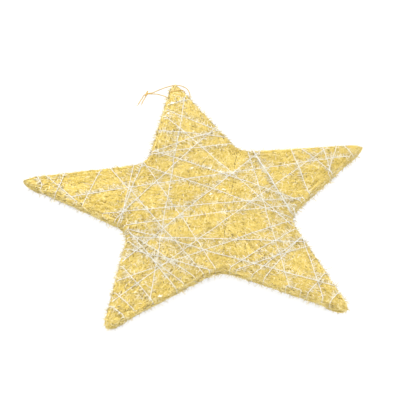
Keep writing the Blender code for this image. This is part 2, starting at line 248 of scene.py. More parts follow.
def strand_material(name, stops, dull, glossy, speckle=0.0, **surface):
    """A material whose colour ramp reads each strand's tone, mixed with a share of random grains.

    A grain's random colour counts as one number, its brightness. The same mix sets the roughness,
    from dull where it is dark to glossy where it is pale. The grains are a little hollow as well.
    """
    material, tree, shader = new_material(name, **surface)
    tone = add(tree, "ShaderNodeAttribute", {"attribute_name": "tone"}).outputs["Fac"]
    place = add(tree, "ShaderNodeTexCoord").outputs["Object"]
    grains = add(tree, "ShaderNodeTexVoronoi", Vector=place, Scale=GRAIN_SCALE)
    mixed = add(tree, "ShaderNodeMix", _0=speckle, _2=tone, _3=grains.outputs["Color"])
    colours = add(tree, "ShaderNodeValToRGB", Fac=mixed.outputs["Result"])
    elements = colours.color_ramp.elements
    while len(elements) < len(stops):
        elements.new(0.5)
    for element, (position, colour) in zip(elements, stops):
        element.position, element.color = position, linear(colour)
    tree.links.new(colours.outputs["Color"], shader.inputs["Base Color"])
    rough = add(tree, "ShaderNodeMapRange", Value=mixed.outputs["Result"], To_Min=dull, To_Max=glossy)
    tree.links.new(rough.outputs["Result"], shader.inputs["Roughness"])
    if speckle:
        bump = add(tree, "ShaderNodeBump", Height=grains.outputs["Distance"], Distance=GRAIN_HEIGHT)
        tree.links.new(bump.outputs["Normal"], shader.inputs["Normal"])
    return material


print("sisal's middle gold in linear light:", [round(float(v), 3) for v in linear("#c5aa46")[:3]])

# %% Sisal, tinsel yarn and gold thread
# Fibres cross about every millimetre, and a pixel is 1.2 mm wide here.
GRAIN_SCALE, GRAIN_HEIGHT = 1 / (1.15 * MM), 0.15 * MM

# Leaf fibre, scraped clean and dried in the sun: straw gold, and silkier the paler it is.
sisal = strand_material(
    "loose_sisal", ((0.0, "#745616"), (0.14, "#a88a2c"), (0.38, "#c5aa46"), (0.64, "#d6c067"),
                    (1.0, "#f2e9c4")),
    0.72, 0.52, speckle=0.62, IOR=1.5, Sheen_Weight=0.25, Sheen_Roughness=0.4)
# The same fibre pressed together: little light gets in, so its colour is painted deeper, painted
# shade, and it is duller.
packed_sisal_painted_shade = strand_material(
    "packed_sisal_painted_shade", ((0.0, "#927426"), (0.5, "#bc9c42"), (1.0, "#d0b25c")),
    0.86, 0.74, speckle=0.5)
# Fibre on which the leaf's juice has dried: brown and dull. It also colours the dark flecks that paint
# shadow between fibres.
stain_and_shadow_sisal = strand_material(
    "stain_and_shadow_sisal", ((0.0, "#3e2e10"), (0.5, "#6e5524"), (1.0, "#94783a")),
    0.76, 0.64, speckle=0.3)
# Spun cotton, undyed: a soft off-white with a fine fuzz, hence the sheen.
core_white = strand_material(
    "yarn_core_cotton", ((0.0, "#d6d3c8"), (0.5, "#e8e6de"), (1.0, "#f4f3ee")),
    0.56, 0.44, IOR=1.5, Sheen_Weight=0.3)
# Plastic film with a breath of metal on it, slit into blades: pale tones are a painted glint, brown
# ones a painted dull reflection.
film = strand_material(
    "metallised_film", ((0.0, "#846c34"), (0.4, "#c0ae74"), (1.0, "#f4efdc")),
    0.45, 0.3, Metallic=0.15)
# Shiny yarn dyed gold and twisted: a soft glow along each turn.
gold = strand_material(
    "twisted_gold_thread", ((0.0, "#96793a"), (0.5, "#bf9c4e"), (1.0, "#d8bd74")),
    0.5, 0.36, Metallic=0.2, IOR=1.5, Sheen_Weight=0.2)
print("materials:", ", ".join(m.name for m in (sisal, packed_sisal_painted_shade, stain_and_shadow_sisal,
                                                core_white, film, gold)))

# %% [markdown]
# ## One way to make every strand
#
# Fibres, yarn, whiskers and thread are all the same form: a thin closed tube along a line of
# points. So one function makes thousands of them at once. Each point gets a small ring of corners
# in the plane across the line. Wide and flat rings make a ribbon, round ones a thread.

# %% Strands
LOWEST = 0.05 * MM


def unit(vectors):
    """Vectors made one long."""
    return vectors / np.maximum(np.linalg.norm(vectors, axis=-1, keepdims=True), 1e-12)


def headings(spines):
    """The direction of each line at each of its points, from the points before and after."""
    ahead = np.empty_like(spines)
    ahead[..., 1:-1, :] = spines[..., 2:, :] - spines[..., :-2, :]
    ahead[..., 0, :] = spines[..., 1, :] - spines[..., 0, :]
    ahead[..., -1, :] = spines[..., -1, :] - spines[..., -2, :]
    return unit(ahead)


def make_mesh(name, points, faces, material, tone):
    """A mesh object from points, a list of equal-sided face arrays and a tone per point.

    What would dip into the table is pressed flat just above it.
    """
    mesh = bpy.data.meshes.new(name)
    points = np.maximum(points, (-1, -1, LOWEST))
    corners = np.concatenate([part.ravel() for part in faces]).astype(np.int32)
    sides = np.concatenate([np.full(len(part), part.shape[1]) for part in faces])
    mesh.vertices.add(len(points))
    mesh.vertices.foreach_set("co", points.astype(np.float32).ravel())
    mesh.loops.add(len(corners))
    mesh.loops.foreach_set("vertex_index", corners)
    mesh.polygons.add(len(sides))
    mesh.polygons.foreach_set("loop_start", (np.cumsum(sides) - sides).astype(np.int32))
    mesh.polygons.foreach_set("use_smooth", np.ones(len(sides), bool))
    mesh.update(calc_edges=True)
    mesh.attributes.new("tone", "FLOAT", "POINT").data.foreach_set(
        "value", np.clip(tone, 0, 1).astype(np.float32).ravel())
    mesh.materials.append(material)
    piece = bpy.data.objects.new(name, mesh)
    bpy.context.scene.collection.objects.link(piece)
    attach(piece, "root")
    print(f"{name}: {int((sides - 2).sum())} triangles")
    return piece


print("ready to make meshes")

# %% [markdown]
# The tubes themselves: sideways and upward directions are found at each point, a ring is laid in
# them, and each ring is joined to the next by four-sided walls. A flat face closes each end.

# %% Closed tubes along lines
def strand_mesh(name, spines, ups, half_width, half_height, corners, tone, material,
                turns=0.0):
    """Closed tubes along many lines at once.

    A ring's corner at angle a is the line's point, plus the sideways direction times half the
    width times cos a, plus the upward direction times half the height times sin a. Turns, in
    radians at each point, spin the rings about their line.
    """
    count, length = spines.shape[:2]
    ahead = headings(spines)
    aside = unit(np.cross(ahead, ups))
    upward = np.cross(aside, ahead)
    angle = np.arange(corners) * math.tau / corners + math.pi / 2
    wide = np.broadcast_to(half_width, (count, length))[..., None, None]
    high = np.broadcast_to(half_height, (count, length))[..., None, None]
    across, over = np.cos(angle)[:, None], np.sin(angle)[:, None]
    if np.ndim(turns):
        spin = turns[..., None, None]
        ring = (aside[:, :, None] * (wide * across * np.cos(spin) - high * over * np.sin(spin))
                + upward[:, :, None] * (wide * across * np.sin(spin) + high * over * np.cos(spin)))
    else:
        ring = aside[:, :, None] * (wide * across) + upward[:, :, None] * (high * over)
    points = (spines[:, :, None] + ring).reshape(-1, 3)
    first = (np.arange(count)[:, None] * length + np.arange(length - 1)) * corners
    here = first[..., None] + np.arange(corners)
    beside = first[..., None] + (np.arange(corners) + 1) % corners
    walls = np.stack([here, beside, beside + corners, here + corners], axis=-1).reshape(-1, 4)
    starts = (np.arange(count) * length * corners)[:, None] + np.arange(corners)[::-1]
    ends = (np.arange(count) * length * corners)[:, None] + (length - 1) * corners + np.arange(corners)
    tones = np.repeat(np.broadcast_to(tone, (count, length)).ravel(), corners)
    return make_mesh(name, points, [walls[:, ::-1], starts[:, ::-1], ends[:, ::-1]], material,
                     tones)


print("ready to make strands")

# %% [markdown]
# ## The hanging thread
#
# One thin gold thread goes round the loop arm, comes off it on both sides, and the two ends are
# tied together in an overhand knot with two frayed tails. It is a limp cord lying loose, so its
# route drops from the arm to the table and then stays on it. The route's points are those of the
# solid model. Two yarns twisted round each other make the thread, so its surface is a rope's.

# %% Route points, in millimetres from the star's middle
THREAD = 1.2 * MM
TABLE_EASE = 0.1 * MM
ROUTE_STEP, CURVE_STEPS = 0.8 * MM, 16
LONG_STRAND = (
    (1.2, 193.6, 0.9), (5.6, 193.8, 0.8), (10.0, 196.5), (12.3, 202.4), (12.6, 208.6),
    (11.2, 215.4), (8.0, 220.6), (3.6, 224.2), (-1.8, 226.0), (-8.0, 225.6), (-15.0, 223.8),
    (-22.0, 221.0), (-28.4, 218.0), (-33.4, 215.6), (-36.6, 214.7, 1.5),
)
SHORT_STRAND = (
    (-10.4, 197.0, 0.9), (-14.2, 201.8, 0.8), (-18.3, 206.2), (-22.7, 209.4), (-27.2, 212.0),
    (-31.6, 213.3), (-36.4, 213.2, 1.4),
)
OUTER_TAIL = ((-44.8, 211.2, 1.2), (-46.8, 207.2), (-49.9, 202.2), (-53.0, 196.2))
INNER_TAIL = ((-42.0, 209.6, 1.2), (-44.2, 206.0), (-46.6, 201.6), (-48.8, 196.4))
KNOT_PLACE, KNOT_TURN = (-40.8, 213.1), math.radians(30)


def route_points(points):
    """Route points in metres in the part's frame; a point without a height lies on the table."""
    lowest = (THREAD / 2 + TABLE_EASE) / MM
    full = np.array([(*p[:2], p[2] if len(p) > 2 else lowest) for p in points]) * MM
    return full + np.array([*MIDDLE, 0])


def smooth_line(corners, step):
    """An open Catmull-Rom curve through corners, read at even steps along its length."""
    padded = np.vstack([2 * corners[0] - corners[1], corners, 2 * corners[-1] - corners[-2]])
    p0, p1, p2, p3 = (padded[k:len(padded) - 3 + k] for k in range(4))
    t = np.linspace(0, 1, CURVE_STEPS, endpoint=False)[:, None, None]
    curve = 0.5 * (2 * p1 + (p2 - p0) * t + (2 * p0 - 5 * p1 + 4 * p2 - p3) * t**2
                   + (3 * p1 - p0 - 3 * p2 + p3) * t**3)
    fine = np.vstack([curve.transpose(1, 0, 2).reshape(-1, 3), corners[-1]])
    return even_steps(fine, step)


print("points on the long side:", len(LONG_STRAND), "and on the short side:", len(SHORT_STRAND))

# %% The twisted thread
PLY_PITCH = 3.2 * MM
PLY_OFFSET, PLY_RADIUS = THREAD * 0.25, THREAD * 0.34
FRAY_WISPS, FRAY_POINTS = 4, 5


def plied_thread(name, line):
    """Two plies wound round a line: each follows it at a quarter of the thread's width, turning."""
    travelled = np.concatenate([[0], np.cumsum(np.linalg.norm(np.diff(line, axis=0), axis=1))])
    turns = travelled / PLY_PITCH
    ahead = headings(line)
    ups = np.where(abs(ahead[:, 2:]) > 0.9, np.array([[0, 1, 0]]), np.array([[0, 0, 1]]))
    aside = unit(np.cross(ahead, ups))
    upward = np.cross(aside, ahead)
    phases = math.tau * (turns[None, :] + np.array([[0], [0.5]]))
    spines = (line + (aside * np.cos(phases)[..., None] + upward * np.sin(phases)[..., None])
              * PLY_OFFSET)
    tone = 0.5 + 0.25 * np.sin(phases * 2.7) + rng.normal(0, 0.06, phases.shape)
    return strand_mesh(name, spines, np.broadcast_to(upward, spines.shape), PLY_RADIUS, PLY_RADIUS,
                       6, tone, gold)


def frayed_end(tip, ahead, spread):
    """A few wisps of 3 to 5.5 mm that leave a thread's end, lying on the table and fanning out."""
    share = np.linspace(0, 1, FRAY_POINTS)[None, :, None]
    bend = np.linspace(0.4, 1, FRAY_POINTS)[None, :, None]
    reach = share * rng.uniform(3, 5.5, (FRAY_WISPS, 1, 1)) * MM
    turn = (rng.uniform(-1, 1, (FRAY_WISPS, 1, 1)) * spread) * bend
    aside = np.array([-ahead[1], ahead[0], 0])
    return tip + reach * (ahead * np.cos(turn) + aside * np.sin(turn))


OUTER_PASS, INNER_PASS = (-41.4, 213.3, 1.5), (-39.9, 212.4, 1.9)
long_line = smooth_line(route_points((*LONG_STRAND, OUTER_PASS, *OUTER_TAIL)), ROUTE_STEP)
short_line = smooth_line(route_points((*SHORT_STRAND, INNER_PASS, *INNER_TAIL)), ROUTE_STEP)
long_thread = plied_thread("gold_thread_long", long_line)
short_thread = plied_thread("gold_thread_short", short_line)
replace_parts(long_thread, "hanger_strand_long", "hanger_tail_outer")
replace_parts(short_thread, "hanger_strand_short", "hanger_tail_inner")

# %% [markdown]
# The overhand knot follows the textbook curve of a trefoil pulled open: three polynomials of one
# parameter, whose ends run out to the two sides. Each is divided so that its swings are about one
# high, and then stretched to the knot's size. The thread is doubled there, so two strands lie side
# by side along the curve.

# %% The knot and the frayed ends
KNOT_SIZE, KNOT_LIFT = np.array([5.4, 4.6, 3.4]) * MM, 3.4 * MM * 0.84
KNOT_END, KNOT_POINTS = 2.06, 46
FRAY_HALF_WIDTHS = np.linspace(0.17, 0.05, FRAY_POINTS) * MM
t = np.linspace(-KNOT_END, KNOT_END, KNOT_POINTS)
loop = np.stack([(t**5 - 10 * t) / 24, (t**3 - 3 * t) / 4 * 0.72, (t**4 - 4 * t**2) / 4 * 0.55],
                axis=1)
loop = loop * KNOT_SIZE + np.array([0, 0, KNOT_LIFT])
cosine, sine = math.cos(KNOT_TURN), math.sin(KNOT_TURN)
loop[:, :2] = loop[:, :2] @ np.array([[cosine, sine], [-sine, cosine]])
loop += route_points((KNOT_PLACE + (0.0,),))
apart = unit(np.cross(headings(loop), [0, 0, 1.0])) * THREAD * 0.36
knot_spines = np.stack([loop + apart, loop - apart])
knot = strand_mesh("gold_overhand_knot", knot_spines, np.full(knot_spines.shape, (0.0, 0.0, 1.0)),
                   THREAD * 0.46, THREAD * 0.46, 8,
                   0.42 + 0.2 * np.sin(np.arange(KNOT_POINTS) * 1.3), gold)
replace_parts(knot, "hanger_knot")

fray_spines = np.concatenate([frayed_end(line[-1], headings(line)[-1] * (1, 1, 0), 0.5)
                              for line in (long_line, short_line)])
frays = strand_mesh("gold_frayed_ends", fray_spines, np.full(fray_spines.shape, (0.0, 0.0, 1.0)),
                    FRAY_HALF_WIDTHS, FRAY_HALF_WIDTHS, 3, 0.75, gold)

# %% [markdown]
# The thread is the only part of the star that lies free.

# %% [markdown]
# ## The body of the star
#
# Under the loose fibres the star is a dense pad of the same sisal. Its form is the solid's: a rim
# rounded by a quarter circle, a nearly flat face, and a flat back with a foot under each tip but
# the loop arm's. One function gives the skin: one parameter goes round the outline, the other
# runs from the rim's edge inwards, over the face or under the back.

# %% Crown and feet
# An inset runs from 0 at the rim to DEPTH at the middle, however far the rim is there.
DEPTH = 81.20 * MM
RIM_HALF, FACE_ROUND, BACK_ROUND = 4.5 * MM, 4.5 * MM, 3.6 * MM
CROWN, CROWN_FULLNESS = 2.0 * MM, 1.3
FOOT_DEPTH, FOOT_START, FOOT_LEVEL = 4.0 * MM, 28 * MM, 16 * MM
ARMS = 5
ring_reach = reach_at(ring)
peaks = (ring_reach > np.roll(ring_reach, 1)) & (ring_reach >= np.roll(ring_reach, -1))
TIPS = ring[peaks][np.argsort(-ring_reach[peaks])[:ARMS]]
FOOTED_TIPS = TIPS[np.argsort(TIPS[:, 1])[:ARMS - 1]]


def inset_at(place):
    """How far inside the rim a place is: its share of the way to the middle, times the depth."""
    return (1 - reach_at(place) / rim_reach(angle_at(place))) * DEPTH


def crown_height(inset):
    """How high the face stands above its rounded rim: a power of a quarter sine wave."""
    return CROWN * np.sin(0.5 * math.pi * np.clip(inset / DEPTH, 0, 1)) ** CROWN_FULLNESS


def foot_depth(place):
    """How much deeper the back is near a footed tip: a smooth step of the distance to the tip."""
    from_tip = np.linalg.norm(place[..., None, :] - FOOTED_TIPS, axis=-1).min(axis=-1)
    share = np.clip((FOOT_START - from_tip) / (FOOT_START - FOOT_LEVEL), 0, 1)
    return FOOT_DEPTH * share**2 * (3 - 2 * share)


print("tips in mm:", (TIPS / MM).round().tolist())

# %% [markdown]
# Fibres run on from the face over the rim, so the skin is measured along itself, as if unrolled.

# %% The skin as a function
def rolled(angle, inward, lift=0.0):
    """A point on the star's skin, and the skin's direction there.

    The skin is unrolled: inward is the distance from the rim's edge over the face, or under the
    back where it is negative. Within a quarter turn of the rim the skin follows the round.
    """
    over = inward >= 0
    radius = np.where(over, FACE_ROUND, BACK_ROUND)
    distance = abs(inward)
    quarter = radius * math.pi / 2
    bend = np.clip(distance / radius, 0, math.pi / 2)
    beyond = np.clip((distance - quarter) / (DEPTH - quarter), 0, 1) * (DEPTH - radius)
    inset = radius * (1 - np.cos(bend)) + beyond
    scale = 1 - (inset - lift * np.cos(bend)) / DEPTH
    place = compass(angle) * (rim_reach(angle) * scale)[..., None]
    face = RIM_HEIGHT + (RIM_HALF + lift) * np.sin(bend) + crown_height(inset)
    under = RIM_HEIGHT - (RIM_HALF + foot_depth(place) + lift) * np.sin(bend)
    height = np.where(over, face, under)
    facing = rim_facing(angle) * np.cos(bend)[..., None]
    up = np.where(over, 1, -1) * np.sin(bend)
    return (np.concatenate([place + MIDDLE, height[..., None]], axis=-1),
            unit(np.concatenate([facing, up[..., None]], axis=-1)))


def face_height(place):
    """The face's height over a place inside the rounded rim: the rim's top plus the crown."""
    return RIM_HEIGHT + RIM_HALF + crown_height(inset_at(place))


def ripple(place, wave, seed):
    """Soft bumps about a wavelength across: a sum of sine waves in scattered directions."""
    waves = np.random.default_rng(seed)
    direction, phase, size = waves.uniform((0, 0, 0.7), (math.tau, math.tau, 1.5), (7, 3)).T
    travel = place[..., 0, None] * np.cos(direction) + place[..., 1, None] * np.sin(direction)
    return np.sin(travel * math.tau / (wave * size) + phase).mean(axis=-1)


print("height of the face in mm:", round(float(face_height(np.zeros(2))) / MM, 1))

# %% [markdown]
# The pad is that skin as a grid, sunk a millimetre to leave room for the fibres on it, with soft
# bumps and a mottled tone. Rings of points lie closest together at the rim, where the skin bends
# most. The rim is painted paler than the face, painted light, because in the picture it hardly
# darkens.

# %% The pad
ROUND, ACROSS = 400, 30
PAD_SINK, PAD_SHARE = 1.0 * MM, 0.995
BROAD_BUMP, BROAD_WAVE = 0.5 * MM, 14 * MM
SMALL_BUMP, SMALL_WAVE = 0.3 * MM, 5 * MM
# Painted light: how much the tone is raised where the skin turns round the rim.
RIM_PAINTED_LIGHT = 0.55
pad_angles = outline_angles[np.linspace(0, len(outline_angles), ROUND, endpoint=False).astype(int)]
shares = np.linspace(-1, 1, 2 * ACROSS + 1)
grid_angle, grid_inward = np.meshgrid(pad_angles, np.sign(shares) * shares**2 * DEPTH * PAD_SHARE)
flat_place, _ = rolled(grid_angle, grid_inward)
bumps = (BROAD_BUMP * ripple(flat_place, BROAD_WAVE, 3)
         + SMALL_BUMP * ripple(flat_place, SMALL_WAVE, 4))
pad, _ = rolled(grid_angle, grid_inward, bumps - PAD_SINK)
row, column = np.mgrid[:2 * ACROSS, :ROUND]
here, beside = row * ROUND + column, row * ROUND + (column + 1) % ROUND
walls = np.stack([here, here + ROUND, beside + ROUND, beside], axis=-1).reshape(-1, 4)
last, around = 2 * ACROSS * ROUND, np.arange(ROUND)
low_cap = np.stack([np.full(ROUND, last + ROUND), around, (around + 1) % ROUND], axis=-1)
high_cap = np.stack([np.full(ROUND, last + ROUND + 1), last + (around + 1) % ROUND, last + around],
                    axis=-1)
poles = [[*MIDDLE, RIM_HEIGHT - RIM_HALF + PAD_SINK],
         [*MIDDLE, RIM_HEIGHT + RIM_HALF + CROWN - PAD_SINK]]
pad_points = np.vstack([pad.reshape(-1, 3), poles])
pad_tone = 0.5 + 0.3 * ripple(pad_points, 6 * MM, 5) + 0.35 * ripple(pad_points, 2.4 * MM, 6)
# Painted light: the pad's tone is raised near the rim's edge.
pad_tone[:-2] += RIM_PAINTED_LIGHT * np.clip(1 - abs(grid_inward.ravel()) / RIM_HALF, 0, 1)
# The pad's deeper material is painted shade under the fibres.
pad_piece = make_mesh("sisal_pad", pad_points, [walls, low_cap, high_cap], packed_sisal_painted_shade,
                      pad_tone)
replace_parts(pad_piece, "sisal_star")

# %% [markdown]
# ## Loose fibres
#
# What the eye sees is the felt of fibres: hair-thin, 2 to 9 cm long, wavy, lying every way but
# mostly along the arms. Each fibre is drawn as a short walk over the unrolled skin, whose heading
# wavers, and the skin function then lays it on the star, round the rim and under it. A real sisal
# fibre is 0.2 to 0.3 mm thick, which is a quarter of a pixel here, so these are drawn 0.5 to
# 1.6 mm wide, the lowest widest, as the small bundles that the fibres cling together in. Short
# dark flecks lie among them in the stained fibres' brown: painted shadow between the fibres.

# %% Fibre walks
TRIES = 6
RIM_BAND = 0.9
LOOSEST, STRAIGHTEST, CALM_REACH = 1.6, 0.45, 90 * MM
OVER_LAP, UNDER_LAP = 22 * MM, 6 * MM
DIP = 0.28 * MM


def fibre_walks(count, steps, step, rim_share, wildness, seed):
    """Lines of points over the unrolled skin, as angles round the middle and ways inward.

    A walk starts anywhere on the face, or near the rim for a share of them. It heads along its
    arm, off by a random turn that is smaller far out on the arm. Its heading then wavers: a sine
    wave, with a swing in radians and a length in millimetres, plus a steady drift.
    """
    walks = np.random.default_rng(seed)
    starts = TRIES * count
    start_angle = outline_angles[walks.integers(0, len(outline_angles), starts)]
    start_scale = np.sqrt(walks.uniform(0, 1, starts))
    near_rim = walks.uniform(0, 1, starts) < rim_share
    start_scale = np.where(near_rim, walks.uniform(RIM_BAND, 1.0, starts), start_scale)
    rim = rim_reach(start_angle)
    keep = np.nonzero(walks.uniform(0, 1, starts) < (rim / rim.max()) ** 2)[0][:count]
    start_angle, start_scale = start_angle[keep], start_scale[keep]
    reach = rim_reach(start_angle) * start_scale
    start = compass(start_angle) * reach[:, None]
    arm = TIPS[np.linalg.norm(start[:, None] - TIPS, axis=-1).argmin(axis=1)]
    arm_heading = angle_at(arm) + walks.integers(0, 2, len(arm)) * math.pi
    loose = np.clip(LOOSEST - reach / CALM_REACH, STRAIGHTEST, LOOSEST) * wildness
    heading = arm_heading + walks.normal(0, 1, len(arm)) * loose
    travelled = np.arange(steps) * step / MM
    swing, wave, phase, drift = walks.normal((0, 15, 0, 0), (0.35, 3, 3, 0.004), (len(arm), 4)).T
    waver = (swing[:, None] * np.sin(travelled / wave[:, None] + phase[:, None])
             + drift[:, None] * travelled)
    turned = heading[:, None] + waver
    stride = step * walks.uniform(0.6, 1.35, (len(arm), 1, 1))
    path = start[:, None] + np.cumsum(compass(turned) * stride, axis=1)
    return angle_at(path), inset_at(path)


print(f"{TRIES} starts are drawn for each fibre, and those on a long arm are kept more often")

# %% [markdown]
# Each felt is many such fibres as one mesh. The deepest is laid first and is the widest, and the
# finest lie on top. One more is combed round the rim, and one covers the back.

# %% Felts of fibres
def fibre_piece(name, count, steps, step, lifts, widths, tones, seed, rim_share=0.0, wildness=1.0,
                underside=False, material=sisal):
    """A felt of fibres as one mesh: flat three-sided strands that dip in and out of the skin.

    A fibre's lift over the skin is its own, plus a slow sine wave; where the wave takes it lower,
    its tone is a little darker, painted shade. It is thinnest at its ends. A walk that leaves the
    face goes on over the rim, no further than the lap. Where the skin turns round the rim, the
    fibres are painted paler: painted light.
    """
    angle, inward = fibre_walks(count, steps, step, rim_share, wildness, seed)
    felt = np.random.default_rng(seed + 1)
    inward = -np.clip(inward, -UNDER_LAP, None) if underside else np.clip(inward, -OVER_LAP, None)
    count = len(angle)
    wave, phase = felt.uniform((3, 0), (9, 6), (count, 2)).T[..., None]
    dip = np.sin(np.linspace(0, 1, steps) * wave + phase)
    lift = felt.uniform(*lifts, (count, 1)) + DIP * dip
    spines, ups = rolled(angle, inward, lift)
    taper = np.sin(np.linspace(0.12, 0.88, steps) * math.pi) ** 0.35
    width = felt.uniform(*widths, (count, 1)) / 2 * taper
    # Painted shade where a fibre dips lower, and painted light where the skin turns round the rim.
    tone = felt.normal(*tones, (count, 1)) + 0.06 * dip + RIM_PAINTED_LIGHT * (1 - abs(ups[..., 2]))
    return strand_mesh(name, spines, ups, width, width * 0.7, 3, tone, material)


# In each call, after the number of fibres, their steps and the step: the range of lifts, the range
# of widths, and the mean tone and its scatter.
fibre_piece("sisal_felt_deep", 1700, 9, 7.5 * MM, (-1.0 * MM, -0.3 * MM), (0.9 * MM, 1.6 * MM),
            (0.5, 0.16), 11)
fibre_piece("sisal_felt_middle", 3300, 9, 7.0 * MM, (-0.6 * MM, 0.1 * MM), (0.7 * MM, 1.2 * MM),
            (0.52, 0.2), 51, wildness=0.7)
fibre_piece("sisal_felt_top", 3300, 9, 6.5 * MM, (-0.4 * MM, 0.4 * MM), (0.6 * MM, 1.15 * MM),
            (0.52, 0.26), 21, wildness=0.9)
fibre_piece("sisal_felt_rim", 1200, 8, 4.5 * MM, (-0.6 * MM, 0.4 * MM), (0.5 * MM, 0.95 * MM),
            (0.55, 0.3), 31, rim_share=0.9, wildness=0.5)
fibre_piece("sisal_felt_back", 1100, 8, 8.0 * MM, (-0.7 * MM, 0.1 * MM), (0.8 * MM, 1.5 * MM),
            (0.45, 0.25), 41, underside=True)
# Painted shadow: short dark flecks on the felt stand for the shade between fibres.
fibre_piece("sisal_painted_shadow_flecks", 1500, 3, 1.2 * MM, (0.2 * MM, 0.5 * MM), (0.6 * MM, 1.0 * MM),
            (0.5, 0.3), 61, wildness=1.3, material=stain_and_shadow_sisal)

# %% [markdown]
# A few stained fibres single this star out: one surfaces in dashes down the middle, and others
# show just inside the rim. Their places were marked in the picture, and then worked out
# with the camera above in whole millimetres from the middle.

# %% Stained fibres
STAINED = (
    ((49, 74), (41, 48), (33, 15), (21, -24), (12, -62), (7, -85)), ((92, -49), (92, -59)),
    ((101, -87), (104, -98), (106, -110)), ((-156, 66), (-150, 61), (-145, 54)),
    ((-76, -138), (-90, -148)), ((-151, 69), (-141, 67)), ((47, 75), (44, 70)),
)
DASH, GAP = 5, 1
STAIN_SHIFT, STAIN_LIFT = 0.35 * MM, 0.35 * MM
STAIN_HALF_WIDTH, STAIN_HALF_HEIGHT = 0.45 * MM, 0.3 * MM


def dashes(places):
    """Places along a line every millimetre, cut into dashes of a few with a gap between them."""
    line = even_steps(np.array(places) * MM, 1.0 * MM)
    return line[np.arange(0, len(line) - DASH, DASH + GAP)[:, None] + np.arange(DASH)]


surfacing = np.concatenate([dashes(places) for places in STAINED])
surfacing = surfacing + rng.normal(0, STAIN_SHIFT, (len(surfacing), 1, 2))
stain_spines, stain_ups = rolled(angle_at(surfacing), inset_at(surfacing), STAIN_LIFT)
strand_mesh("sisal_stained_fibres", stain_spines, stain_ups, STAIN_HALF_WIDTH, STAIN_HALF_HEIGHT, 3,
            rng.uniform(0.1, 0.9, (len(stain_spines), 1)), stain_and_shadow_sisal)

# %% [markdown]
# Here and there a fibre's end works loose and stands off the rim, so the star's edge is never a
# clean line.

# %% Loose ends along the rim
ROOT_LOWEST, ROOT_HIGHEST = -4.5, 3.5


def rim_ends(count):
    """Roots on the skin near the rim's edge, the skin's direction there, and ways off it.

    A root lies at most 4.5 mm under the edge and 3.5 mm over it. A way is the skin's direction
    plus a random share of the rim's own.
    """
    angles = outline_angles[rng.integers(0, len(outline_angles), count)]
    roots, skin_ways = rolled(angles, rng.uniform(ROOT_LOWEST, ROOT_HIGHEST, count) * MM)
    facing = rim_facing(angles)
    along_rim = np.column_stack([-facing[:, 1], facing[:, 0], np.zeros(count)])
    off = skin_ways * rng.uniform(0.15, 0.9, (count, 1)) + along_rim * rng.normal(0, 1, (count, 1))
    return roots, skin_ways, unit(off)


FUZZ, FUZZ_POINTS = 2200, 4
FUZZ_HALF_WIDTHS = np.linspace(0.36, 0.16, FUZZ_POINTS) * MM
FUZZ_HALF_HEIGHTS = np.linspace(0.26, 0.12, FUZZ_POINTS) * MM
fuzz_roots, fuzz_ups, off_rim = (part[:, None] for part in rim_ends(FUZZ))
out = np.linspace(0, 1, FUZZ_POINTS)[None, :, None] * rng.uniform(2, 6.5, (FUZZ, 1, 1)) * MM
curl = rng.normal(-0.02, 0.05, (FUZZ, 1, 1))
fuzz = fuzz_roots + off_rim * out + fuzz_ups * (out**2) * curl / MM
strand_mesh("sisal_loose_ends", fuzz, np.broadcast_to(fuzz_ups, fuzz.shape), FUZZ_HALF_WIDTHS,
            FUZZ_HALF_HEIGHTS, 3, rng.normal(0.6, 0.2, (FUZZ, 1)), sisal)

# %% [markdown]
# Each arm ends in a wisp: fibres from all round the tip are drawn together and out to a point. A
# fibre's line goes straight from its root to its end, and bulges off the skin as a half sine wave.

# %% Wisps at the tips
WISP, WISP_POINTS = 110, 6
WISP_HALF_WIDTHS = np.linspace(0.5, 0.28, WISP_POINTS) * MM
WISP_HALF_HEIGHTS = np.linspace(0.35, 0.2, WISP_POINTS) * MM
tips = np.repeat(TIPS, WISP, axis=0)
tip_reach = reach_at(tips)[:, None]
across_tip = tips[:, ::-1] * (-1, 1) / tip_reach
fan = rng.normal(0, 0.022, len(tips))
wisp_roots, wisp_ups = rolled(angle_at(tips) + fan, rng.uniform(-6, 11, len(tips)) * MM)
ends = tips * (1 + rng.uniform(-1, 3.2, (len(tips), 1)) * MM / tip_reach)
ends = ends + across_tip * rng.normal(0, 0.9 * MM, (len(tips), 1)) + MIDDLE
ends = np.column_stack([ends, RIM_HEIGHT + rng.normal(0.3, 1.3, len(tips)) * MM])
share = np.linspace(0, 1, WISP_POINTS)[:, None]
bulge = np.sin(share * math.pi) * rng.uniform(0.6, 1.3, (len(tips), 1, 1)) * MM
wisps = wisp_roots[:, None] * (1 - share) + ends[:, None] * share + wisp_ups[:, None] * bulge
strand_mesh("sisal_tip_wisps", wisps, np.broadcast_to(wisp_ups[:, None], wisps.shape),
            WISP_HALF_WIDTHS, WISP_HALF_HEIGHTS, 3, rng.normal(0.7, 0.25, (len(tips), 1)), sisal)

# %% [markdown]
# ## The turn of thread round the loop arm
#
# The gold thread goes once round the arm, a little way in from the tip. The arm's section there is
# a bar with half-round edges, so the ring is a straight line with two half circles about its ends.

# %% Thread ring
WRAP_FROM_TIP, WRAP_BAND, WRAP_POINTS = 13 * MM, 2.5 * MM, 60
loop_tip = TIPS[TIPS[:, 1].argmax()]
down_arm = unit(-loop_tip)
across_arm = np.array([-down_arm[1], down_arm[0]])
from_tip = outline - loop_tip
level = abs(from_tip @ down_arm - WRAP_FROM_TIP) < WRAP_BAND
half_bar = abs(from_tip[level] @ across_arm).mean() - RIM_HALF
round_about = np.linspace(0, math.tau, WRAP_POINTS)
off_middle = np.sign(np.cos(round_about)) * half_bar + (RIM_HALF + THREAD) * np.cos(round_about)
wrap_places = MIDDLE + loop_tip + down_arm * WRAP_FROM_TIP + off_middle[:, None] * across_arm
wrap_heights = RIM_HEIGHT + (RIM_HALF + THREAD) * np.sin(round_about)
wrap_line = even_steps(np.column_stack([wrap_places, wrap_heights]), ROUTE_STEP)
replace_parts(plied_thread("gold_thread_turn", wrap_line), "hanger_wrap")
